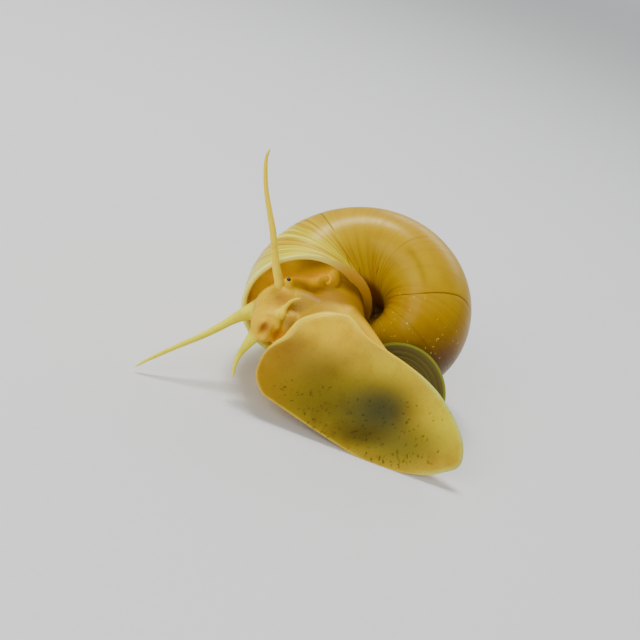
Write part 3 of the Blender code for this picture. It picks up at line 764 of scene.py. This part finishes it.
def shell_rings(angles):
    """Rings from the apex over the lip into the mouth, with their turns, how far inside they are, and
    the ring at the edge of the lip."""
    ends = (-WHORL_COUNT, -OLD_WHORLS, -RIDGED_WHORLS, -RIM_WHORLS)
    stretches = zip(ends, ends[1:], SHELL_RINGS)
    turns = [np.linspace(start, end, rings, endpoint=False) for start, end, rings in stretches]
    turns = np.append(np.concatenate(turns), -RIM_WHORLS)
    turn_grid, angle_grid = np.meshgrid(turns, angles, indexing="ij")
    outer = shell_points(turn_grid, angle_grid, SHELL_MARGIN - growth_relief(turn_grid, angle_grid))
    mouth_turns = -np.linspace(0.008, MOUTH_WHORLS, MOUTH_RINGS)
    turn_grid, angle_grid = np.meshgrid(mouth_turns, angles, indexing="ij")
    thicker = lip_widening(angle_grid) * smoothstep(-LIP_THICKER_WHORLS, 0.0, turn_grid)
    mouth = shell_points(turn_grid, angle_grid, LIP_WALL + SHELL_MARGIN + LIP_THICKER * thicker)
    rim = lip_rim(angles)
    rings = np.concatenate([outer, rim, mouth])
    ring_turns = np.concatenate([turns, np.zeros(LIP_RINGS), mouth_turns])
    inner = np.concatenate([np.zeros(len(turns)), np.linspace(0, 1, LIP_RINGS), np.ones(MOUTH_RINGS)])
    return rings, ring_turns, inner, rim[LIP_RINGS // 2]


def clean_mesh(mesh):
    """Drops the points that no face uses and turns the faces outwards."""
    shape = bmesh.new()
    shape.from_mesh(mesh)
    bmesh.ops.delete(shape, geom=[v for v in shape.verts if not v.link_faces], context="VERTS")
    bmesh.ops.recalc_face_normals(shape, faces=shape.faces)
    shape.to_mesh(mesh)
    shape.free()


def make_shell():
    """The whorl's tube with its growth ridges, rolled lip and the inside of its mouth."""
    angles = round_angles(SHELL_SIDES)
    rings, ring_turns, inner, edge = shell_rings(angles)
    turns, around = np.meshgrid(ring_turns, angles, indexing="ij")
    # What the material reads at each point: on the rings, and on the pillar and the cap
    numbers = {
        "grow": (turns, -WHORL_COUNT),
        "inner": (np.repeat(inner, SHELL_SIDES), 0.0),
        "hub": (whorl_section(turns, around, 0.0)[0], CORE_RADIUS),
        "marks": (scratch_marks(turns, around), 0.0),
        "band": (lip_band(rings, edge, angles), 0.0),
        "around": (np.stack([np.cos(around), np.sin(around), turns], axis=-1), (1.0, 0.0, -WHORL_COUNT)),
    }
    for k, line in enumerate(REST_LINES):
        past, darkness = rest_line(line, turns, around)
        numbers[f"rest_{k}"] = (np.stack([past, darkness, 0 * past], axis=-1), (1.0, 0.0, 0.0))
    hidden = np.any([inside_whorl(turns, around, whorls) for whorls in (1, 2, -1)], axis=0)
    quads = grid_faces(len(ring_turns), SHELL_SIDES)
    quads = quads[~hidden.ravel()[quads].all(axis=1)]
    points, faces = joined([(rings.reshape(-1, 3), quads.tolist()), *shell_core()])
    shell = mesh_piece("shell_skin", on_floor(at_rest(points)), faces)
    for name, (values, on_core) in numbers.items():
        rows = np.reshape(values, (turns.size, -1))
        rows = np.concatenate([rows, np.tile(on_core, (len(points) - turns.size, 1))])
        keep_numbers(shell.data, name, rows)
        if name == "grow":
            keep_paint(shell.data, paint_shell(points, rows[:, 0]))
    finish_piece(shell, shell_material(), ["shell"])
    clean_mesh(shell.data)


def lip_band(rings, edge, angles):
    """How far each point lies in the pale band of the lip, which widens towards the umbilicus."""
    width = LIP_BAND + LIP_BAND_WIDER * lip_widening(angles)
    return smoothstep(width + 0.3, width - 0.1, np.linalg.norm(rings - edge, axis=2))


def paint_shell(points, turns):
    """The shell's broad colours: lemon by the lip, amber behind it, and brown low on the older whorl,
    partly its own and partly painted shade.
    """
    colours = np.tile(SHELL_AMBER, (len(points), 1))
    colours = laid(colours, SHELL_LEMON, smoothstep(-0.25, -0.1, turns))
    colours = laid(colours, SHELL_OLD, 0.8 * smoothstep(-0.5, -0.62, turns))
    colours = laid(colours, SHELL_SPIRE, 0.6 * smoothstep(-1.0, -2.6, turns))
    # The washes lay painted shade, with some of the shell's own brown, on its lower side away from the
    # key light
    return washed(colours, points, SHELL_BROWN_AND_SHADE_WASHES, 0.95)


def shell_material():
    """Growth lines, pale lip, painted shade in the umbilicus and scratches over the shell's painted
    colours.
    """
    look = Look("shell_look")
    grow = look.attribute("grow")
    hub = look.attribute("hub")
    around = look.attribute("around", "Vector")
    patches = look.noise(look.stretched(around, (1.0, 1.0, 6.0)), 1.6, 4.0)
    lines = look.noise(look.stretched(around, (0.35, 0.35, 90.0)), 1.0, 4.0, 0.65)
    fine_lines = look.noise(look.stretched(around, (0.6, 0.6, 330.0)), 1.0, 3.0, 0.6)
    colour = look.attribute("paint", "Color")
    colour = look.shaded(look.times(look.step(patches, 0.42, 0.66), 0.55), colour, CLOUD_TINT)
    young = look.step(grow, -0.27, -0.08)
    strength = look.maths("ADD", 0.25, young)
    streaks = look.times(look.step(lines, 0.5, 0.64), strength)
    colour = look.shaded(streaks, colour, STREAK_TINT)
    pale = look.times(look.step(lines, 0.46, 0.36), young)
    colour = look.mix(pale, colour, SHELL_PALE)
    threads = look.times(look.step(fine_lines, 0.54, 0.68), strength)
    colour = look.shaded(threads, colour, THREAD_TINT)
    wobble = look.times(look.maths("SUBTRACT", patches, 0.5), 0.006)
    for k in range(len(REST_LINES)):
        line = look.attribute(f"rest_{k}", "Vector")
        off = look.maths("ABSOLUTE", look.maths("ADD", look.part(line, 0), wobble))
        mark = look.times(look.step(off, 0.0026, 0.0006), look.part(line, 1))
        colour = look.shaded(mark, colour, REST_TINT)
    rays = look.times(look.step(lines, 0.48, 0.6), look.step(hub, 7.5, 2.5))
    colour = look.shaded(look.times(rays, 0.6), colour, RAY_TINT)
    # Painted shade: darkens the hollow of the umbilicus, close to the shell's axis
    colour = look.shaded(look.step(hub, 1.9, 0.9), colour, UMBILICUS_SHADE_TINT)
    colour = look.shaded(look.attribute("marks"), colour, SCRATCH_TINT)
    specks = look.times(look.step(look.noise(look.place(), 1700.0, 2.0), 0.66, 0.74), 0.5)
    specks = look.times(specks, look.step(grow, -0.56, -0.64))
    colour = look.mix(specks, colour, LIP_CREAM)
    colour = look.mix(look.step(look.attribute("inner"), 0.9, 1.0), colour, MOUTH_YELLOW)
    lip = look.mix(look.step(look.part(around, 0), -0.55, -0.95), LIP_CREAM, LIP_TAN)
    colour = look.mix(look.attribute("band"), colour, lip)
    look.put(
        Base_Color=colour,
        Roughness=look.step(fine_lines, -0.9, 2.6),
        Specular_IOR_Level=0.25,
        Specular_Tint=GLOSS_YELLOW,
        Coat_Weight=0.03,
        Coat_Roughness=0.12,
        Subsurface_Weight=0.04,
        Subsurface_Radius=SHELL_SCATTER,
        Subsurface_Scale=1.0,
        Normal=look.bump(lines, 0.02, look.bump(fine_lines, 0.012)),
    )
    return look.material


# Flesh


def tube_mesh(stations, samples, sides=48, domed=True):
    """A round tube through places with radii, with its ends domed or flat."""
    rows = smooth_path(stations, samples)
    ways = np.gradient(rows[:, :3], axis=0)
    ways /= np.linalg.norm(ways, axis=1)[:, None]
    side = np.cross(ways[0], (0.31, 0.17, 0.93))
    rings = []
    angles = round_angles(sides)
    caps = np.linspace(0.05, 1.0, 6 if domed else 1)
    first = [(rows[0], ways[0], -math.sqrt(1 - share**2), share) for share in caps[:-1]]
    middle = [(row, way, 0.0, 1.0) for row, way in zip(rows, ways)]
    last = [(rows[-1], ways[-1], math.sqrt(1 - share**2), share) for share in caps[::-1][1:]]
    for row, way, reach, share in first + middle + last:
        side = side - way * side.dot(way)
        side /= np.linalg.norm(side)
        other = np.cross(way, side)
        centre = row[:3] + way * row[3] * reach
        around = np.cos(angles)[:, None] * side + np.sin(angles)[:, None] * other
        rings.append(centre + around * row[3] * share)
    return ring_mesh(rings)


def ring_mesh(rings):
    """Points and faces of a closed solid through rings of points."""
    count = len(rings[0])
    first = tuple(range(count))[::-1]
    last = tuple(range((len(rings) - 1) * count, len(rings) * count))
    return np.concatenate(rings), [first] + grid_faces(len(rings), count).tolist() + [last]


def ball_mesh(centre, half_sizes, axes, segments=64):
    """Points and faces of a sphere stretched to its half sizes along three axes."""
    rings = []
    for polar in np.linspace(0.03, math.pi - 0.03, segments // 2):
        ring = []
        for angle in round_angles(segments):
            x = math.sin(polar) * math.cos(angle) * half_sizes[0]
            y = math.sin(polar) * math.sin(angle) * half_sizes[1]
            z = math.cos(polar) * half_sizes[2]
            ring.append(centre + axes[0] * x + axes[1] * y + axes[2] * z)
        rings.append(np.array(ring))
    return ring_mesh(rings)


def sole_edge():
    """Evenly spaced points on the smooth edge of the sole."""
    knots = np.array([(x, y, 0.0) for x, y in SOLE_EDGE])
    edge = []
    for stretch in zip(*(np.roll(knots, step, axis=0) for step in (1, 0, -1, -2))):
        edge += curve_steps(*stretch)
    return evenly_spaced(np.array(edge + [edge[0]]), SOLE_SAMPLES, endpoint=False)


def line_gap(points, start, way):
    """Distance of points from a straight line in the sole's plane."""
    offset = points[:, :2] - start
    share = np.clip(offset @ way / way.dot(way), 0.0, 1.0)
    return np.linalg.norm(offset - share[:, None] * way, axis=1)


def edge_gap(points):
    """Distance of points from the sole's edge in its plane: positive inside the sole."""
    edge = sole_edge()
    x, y = points[:, 0], points[:, 1]
    nearest = np.full(len(points), 1e9)
    inside = np.zeros(len(points), dtype=bool)
    for start, way in zip(edge[:, :2], np.roll(edge, -1, axis=0)[:, :2] - edge[:, :2]):
        nearest = np.minimum(nearest, line_gap(points, start, way))
        if way[1] != 0:
            between = (start[1] > y) != (start[1] + way[1] > y)
            inside ^= between & (x < start[0] + (y - start[1]) * way[0] / way[1])
    return np.where(inside, nearest, -nearest)


def sole_rings():
    """The foot's rings, from its back to the flat of the sole."""
    points = sole_edge()
    start = np.array(MIDLINE_FRONT)
    midline = np.array(MIDLINE_TAIL) - start
    station = np.clip((points - start) @ midline / midline.dot(midline), 0, 1)
    middle = start + station[:, None] * midline
    thickness = FOOT_THICKNESS_FRONT + (FOOT_THICKNESS_TAIL - FOOT_THICKNESS_FRONT) * station
    rings = []
    for share, rise in FOOT_BACK + FOOT_SOLE:
        ring = middle + share * (points - middle)
        ring[:, 2] = -rise * thickness
        rings.append(ring)
    return rings


def mantle_mesh():
    """The flesh that fills the shell's mouth behind the lip."""
    turns = np.linspace(-MANTLE_BACK_WHORLS, -MANTLE_FRONT_WHORLS, 24)
    angles = round_angles(MANTLE_SIDES)
    rings = [shell_points(turn, angles, MANTLE_INSET) for turn in turns]
    front = rings[-1]
    centre = front.mean(axis=0)
    ahead = shell_points(0.0, angles, MANTLE_INSET) - front
    for share in (0.97, 0.9, 0.8, 0.6, 0.35, 0.1):
        bulge = MANTLE_BULGE * math.sqrt(1 - share**2)
        rings.append(centre + share * (front - centre) + bulge * ahead.mean(axis=0))
    return ring_mesh(rings)


def flesh_pieces():
    """Every solid of flesh, as points and faces."""
    mouth_lips = []
    for side in (-1, 1):
        centre = MOUTH_AT + FORWARD * side * MOUTH_LIP_OFFSET - OUT * MOUTH_LIP_DEPTH
        mouth_lips.append(ball_mesh(centre, MOUTH_LIP_HALF_SIZES, BODY_AXES))
    snout_tip = SNOUT_PATH[-1]
    tip_sizes = (snout_tip[1], snout_tip[1], SNOUT_TIP_DEPTH)
    pieces = [
        ring_mesh(sole_rings()),
        ball_mesh(OPERCULUM_AT + OUT * LOBE_RISE, LOBE_HALF_SIZES, BODY_AXES),
        ball_mesh(OPERCULUM_AT + OUT * LOBE_ROOT_RISE, LOBE_ROOT_HALF_SIZES, BODY_AXES),
        tube_mesh(FOOT_COLUMN, 40, 96, domed=False),
        tube_mesh(HEAD_COLUMN, 30, 96, domed=False),
        tube_mesh(FLANK, 60),
        tube_mesh(NAPE, 40),
        tube_mesh(CHIN_FOLD, 24),
        mantle_mesh(),
        tube_mesh(SIPHON_RIM, 80),
        ball_mesh(SIPHON_LOBE_AT, SIPHON_LOBE_HALF_SIZES, PLAIN_AXES),
        ball_mesh(HEAD_AT, HEAD_HALF_SIZES, BODY_AXES),
        tube_mesh(SNOUT_PATH, 24, 80, domed=False),
        ball_mesh(Vector(snout_tip[0]), tip_sizes, BODY_AXES),
        tube_mesh(LEFT_PALP, 40),
        tube_mesh(RIGHT_PALP, 60),
        tube_mesh(LEFT_TENTACLE, 160),
        tube_mesh(RIGHT_TENTACLE, 160),
        tube_mesh(LEFT_EYE_STALK, 16),
        tube_mesh(RIGHT_EYE_STALK, 16),
    ]
    return pieces + mouth_lips


def remeshed(name, pieces):
    """One skin round many overlapping solids, in millimetres."""
    solids = mesh_piece(name, *joined(pieces))
    step = solids.modifiers.new("skin", "REMESH")
    step.mode = "VOXEL"
    step.voxel_size = FLESH_VOXEL
    graph = bpy.context.evaluated_depsgraph_get()
    mesh = bpy.data.meshes.new_from_object(solids.evaluated_get(graph))
    bpy.data.objects.remove(solids, do_unlink=True)
    return mesh


def read_rows(items, name, width, kind=np.float32):
    """What a mesh holds under a name, a row for each of its points or edges."""
    rows = np.empty(len(items) * width, dtype=kind)
    items.foreach_get(name, rows)
    return rows.reshape(-1, width)


def set_points(mesh, points):
    """Moves the points of a mesh."""
    mesh.vertices.foreach_set("co", points.astype(np.float32).ravel())
    mesh.update()


def relax(points, edges, weights):
    """Draws each point towards the mean of its neighbours, by its own weight."""
    first, second = edges[:, 0], edges[:, 1]
    count = len(points)
    degree = np.bincount(first, minlength=count) + np.bincount(second, minlength=count)
    for _ in range(RELAX_ROUNDS):
        total = np.zeros_like(points)
        for k in range(3):
            total[:, k] = np.bincount(first, points[second, k], count)
            total[:, k] += np.bincount(second, points[first, k], count)
        points = points + weights[:, None] * (total / degree[:, None] - points)
    return points


def distance_to_path(points, stations, samples=60):
    """Distance from points to a smooth curve, and the curve's radius where it is nearest."""
    rows = smooth_path(stations, samples)
    best = np.full(len(points), 1e9)
    radius = np.zeros(len(points))
    for row in rows:
        distance = np.linalg.norm(points - row[:3], axis=1)
        closer = distance < best
        best = np.where(closer, distance, best)
        radius = np.where(closer, row[3], radius)
    return best, radius


def sculpt(mesh, points):
    """Raises and sinks the small forms of the head along the skin's own normals."""
    set_points(mesh, points)
    height = np.zeros(len(points))
    for centre, radii, rise in HEAD_FORMS:
        height += rise * spot(points, centre, radii, 1.0)
    waves = np.sin(points @ WRINKLE_WAY * TURN / WRINKLE_PITCH)
    height += WRINKLE_DEPTH * waves * spot(points, WRINKLE_AT, WRINKLE_RADII, 0.8)
    return points + height[:, None] * read_rows(mesh.vertices, "normal", 3)


def make_flesh():
    """One skin over all the flesh, relaxed where the solids meet and then sculpted."""
    mesh = remeshed("flesh_skin", flesh_pieces())
    points = read_rows(mesh.vertices, "co", 3).astype(float)
    weights = np.full(len(points), RELAX_SHARE)
    for stations in (*FEELERS, SIPHON_RIM):
        distance, radius = distance_to_path(points, stations)
        weights[distance < radius * 1.5] = FEELER_RELAX_SHARE
    weights[(points[:, 2] > -0.9) & (edge_gap(points) > -0.3)] = SOLE_RELAX_SHARE
    points = sculpt(mesh, relax(points, read_rows(mesh.edges, "vertices", 2, np.int32), weights))
    set_points(mesh, on_floor(at_rest(points)))
    keep_paint(mesh, paint_flesh(points))
    keep_numbers(mesh, "flecks", fleck_share(points))
    apart = ("shell", "operculum", "eye_left", "eye_right")
    replaced = [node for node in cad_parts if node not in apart]
    finish_piece(new_object("flesh_skin", mesh), flesh_material(), replaced)


def dashes(points):
    """How dark the seeded single dashes make each point of the sole."""
    rng = np.random.default_rng(41)
    dark = np.zeros(len(points))
    for low, high, count, length, lean in DASH_FIELDS:
        for _ in range(count):
            start = rng.uniform(low, high)
            heading = lean + rng.normal(0.0, 0.4)
            way = rng.uniform(0.1, 1.0) * length * np.array((math.cos(heading), math.sin(heading)))
            darkness = rng.uniform(0.15, 0.85)
            half_width = rng.uniform(0.13, 0.2)
            shape = smoothstep(half_width, 0.04, line_gap(points, start, way))
            dark = np.maximum(dark, darkness * shape)
    return dark


def on_sole(points):
    """1 on the sole and 0 on the rest of the skin."""
    return smoothstep(-1.2, -0.3, points[:, 2]) * smoothstep(-0.5, 0.1, edge_gap(points))


def fleck_share(points):
    """How thickly the fine flecks lie at each point."""
    share = np.zeros(len(points))
    for centre, radii, thickness in FLECK_FIELDS:
        share = np.maximum(share, thickness * spot(points, centre, radii, 0.8))
    return share * on_sole(points)


def paint_flesh(points):
    """The skin's colour at each point, from where it lies on the animal."""
    x, y, z = points.T
    colours = np.tile(SKIN, (len(points), 1))
    colours = laid(colours, NECK_PALE, smoothstep(-5.5, -2.5, x) * smoothstep(4.5, 1.5, x))
    # Deeper towards the shell the neck turns olive: partly its own colour, partly painted shade under
    # the shell's lip
    colours = laid(colours, NECK_OLIVE_AND_SHADE, smoothstep(-4.5, -0.5, x) * smoothstep(-2.2, -4.2, z))
    mouth = smoothstep(-7.0, -9.5, z) * smoothstep(5.0, 7.0, y + 0.25 * x + 0.25 * (z + 10))
    colours = laid(colours, MANTLE_ORANGE, mouth * smoothstep(5.5, 1.5, x))
    # Two of the head's washes are painted shade, in the dip by the left palp and in the fold between the
    # head and the sole
    colours = washed(colours, points, HEAD_COLOUR_AND_SHADE_WASHES, 0.9)
    for stations in FEELERS:
        distance, radius = distance_to_path(points, stations[1:])
        colour = FEELER_WARM if stations in (LEFT_TENTACLE, LEFT_PALP) else FEELER_PALE
        colours = laid(colours, colour, 0.85 * smoothstep(2.1, 1.0, distance / radius))
    under = washed(np.tile(SOLE_TAN, (len(points), 1)), points, SOLE_WASHES, 0.95)
    broad = smoothstep(-5.2, -2.6, y) * smoothstep(8.0, 5.5, x)
    rim = smoothstep(0.55 + 0.9 * broad, 0.1 + 0.45 * broad, edge_gap(points))
    under = laid(under, SOLE_CREAM, rim * (0.5 + 0.45 * broad))
    under = laid(under, TAIL_CREAM, smoothstep(1.1, 0.1, edge_gap(points)) * smoothstep(14.0, 20.0, x))
    under = laid(under, FLECK, dashes(points))
    return colours + on_sole(points)[:, None] * (under - colours)


def flesh_material():
    """Moist, slightly translucent skin over the painted colours."""
    look = Look("flesh_look")
    place = look.place()
    paint = look.attribute("paint", "Color")
    grain = look.noise(place, 2600.0, 3.0)
    cloud = look.noise(place, 260.0, 4.0)
    colour = look.shaded(look.step(cloud, 0.45, 0.75), paint, CLOUDY_SKIN_TINT)
    colour = look.shaded(look.step(grain, 0.5, 0.75), colour, GRAINY_SKIN_TINT)
    dots = look.step(look.noise(look.stretched(place, (1.0, 1.0, 1.6)), 2300.0, 2.0, 0.6), 0.64, 0.7)
    patches = look.step(look.noise(place, 500.0, 1.0), 0.46, 0.6)
    dots = look.times(look.times(dots, patches), look.attribute("flecks"))
    look.put(
        Base_Color=look.mix(dots, colour, (*FLECK, 1.0)),
        Roughness=0.5,
        Specular_IOR_Level=0.18,
        Specular_Tint=MOIST_YELLOW,
        Coat_Weight=0.02,
        Coat_Roughness=0.25,
        Subsurface_Weight=0.06,
        Subsurface_Radius=FLESH_SCATTER,
        Subsurface_Scale=1.0,
        Normal=look.bump(grain, 0.02, look.bump(cloud, 0.1)),
    )
    return look.material


# Operculum


def make_operculum():
    """An oval horny dish with close concentric growth lines."""
    length = (LEFT * math.cos(OPERCULUM_TILT) - OUT * math.sin(OPERCULUM_TILT)).normalized()
    axes = np.array([length, -FORWARD, length.cross(-FORWARD)])
    shares = np.linspace(0.02, 1.0, OPERCULUM_RINGS)
    heights = OPERCULUM_DISH * (1 - shares**2) + OPERCULUM_RELIEF * wander(31, OPERCULUM_RINGS, 2)
    angles = round_angles(OPERCULUM_SIDES)
    across = OPERCULUM_HALF_LENGTH * np.cos(angles), OPERCULUM_HALF_WIDTH * np.sin(angles)
    oval = np.stack([*across, 0 * angles], axis=1)
    near = [share * oval + (0.0, 0.0, height) for share, height in zip(shares, heights)]
    far = [ring + (0.0, 0.0, OPERCULUM_THICKNESS) for ring in near[::-1]]
    points, faces = ring_mesh(near + far)
    points = points @ axes + np.array(OPERCULUM_AT)
    operculum = mesh_piece("operculum_plate", at_rest(points), faces)
    reach = np.concatenate([shares, shares[::-1]])
    keep_numbers(operculum.data, "reach", np.repeat(reach, OPERCULUM_SIDES))
    finish_piece(operculum, operculum_material(), ["operculum"])


def operculum_material():
    """Grey-olive horn with concentric lines and a paler rim."""
    look = Look("operculum_look")
    reach = look.attribute("reach")
    wobble = look.times(look.noise(look.place(), 300.0), 0.03)
    rings = look.noise(look.maths("ADD", reach, wobble), 60.0)
    colour = look.mix(look.step(rings, 0.35, 0.65), *HORN_COLOURS)
    colour = look.mix(look.step(reach, 0.93, 0.985), colour, HORN_RIM)
    look.put(Base_Color=colour, Roughness=0.5, Specular_IOR_Level=0.2, Normal=look.bump(rings, 0.04))
    return look.material


# Eyes


def make_eyes():
    """Two small eyeballs whose clear fronts bulge a little."""
    material = eye_material()
    for side, stations in (("left", LEFT_EYE_STALK), ("right", RIGHT_EYE_STALK)):
        centre, way = eye_place(stations)
        across = way.orthogonal().normalized()
        axes = (across, way.cross(across), way)
        points, faces = ball_mesh(centre, (EYE_RADIUS * EYE_ROUND,) * 3, axes, 48)
        offset = points - np.array(centre)
        front = smoothstep(0.7, 1.0, offset @ np.array(way) / EYE_RADIUS)
        points = np.array(centre) + offset * (1 + EYE_BULGE * front)[:, None]
        eye = mesh_piece(f"eyeball_{side}", at_rest(points), faces)
        finish_piece(eye, material, [f"eye_{side}"])


def eye_material():
    """Glossy black, a little clouded with brown."""
    look = Look("eye_look")
    cloud = look.noise(look.place(), 4000.0, 2.0)
    look.put(Base_Color=look.mix(cloud, *EYE_COLOURS), Roughness=0.08)
    return look.material


# Stage


def floor_material():
    """Matt and pale, very faintly speckled."""
    look = Look("floor_look")
    speckle = look.noise(look.place(), 900.0)
    look.put(Base_Color=look.mix(speckle, *FLOOR_COLOURS), Roughness=0.8)
    return look.material


def soft_light(name, width, power):
    """A square soft light, its width in metres."""
    data = bpy.data.lights.new(name, "AREA")
    data.size = width
    data.energy = power
    return new_object(name, data)


def make_stage():
    """A wide pale floor, soft lights and the camera in front of the sole."""
    bpy.ops.mesh.primitive_circle_add(vertices=96, radius=FLOOR_RADIUS, fill_type="NGON")
    floor = bpy.context.object
    floor.name = "floor"
    floor.data.materials.append(floor_material())
    world = bpy.data.worlds.new("studio")
    world.use_nodes = True
    background = world.node_tree.nodes["Background"]
    background.inputs["Color"].default_value = SKY_COLOUR
    background.inputs["Strength"].default_value = SKY_STRENGTH
    bpy.context.scene.world = world
    lit_place = REST @ (Vector(LIT_PLACE) * MM)
    for name, (place, width, power) in LIGHTS.items():
        at = REST @ (Vector(place) * MM)
        turn = (at - lit_place).to_track_quat("Z", "Y").to_matrix().to_4x4()
        soft_light(name, width * MM, power).matrix_world = Matrix.Translation(at) @ turn
    soft_light("far_light", FAR_SIZE, FAR_POWER).location = FAR_AT
    camera_data = bpy.data.cameras.new("camera")
    camera_data.sensor_width = SENSOR_WIDTH
    camera_data.lens = SENSOR_WIDTH * CAMERA_DISTANCE / FRAME_WIDTH
    camera_data.clip_start = 0.01
    camera = new_object("camera", camera_data)
    camera.matrix_world = REST @ Matrix.Translation((0, 0, CAMERA_DISTANCE * MM))
    bpy.context.scene.camera = camera


make_shell()
make_flesh()
make_operculum()
make_eyes()
make_stage()
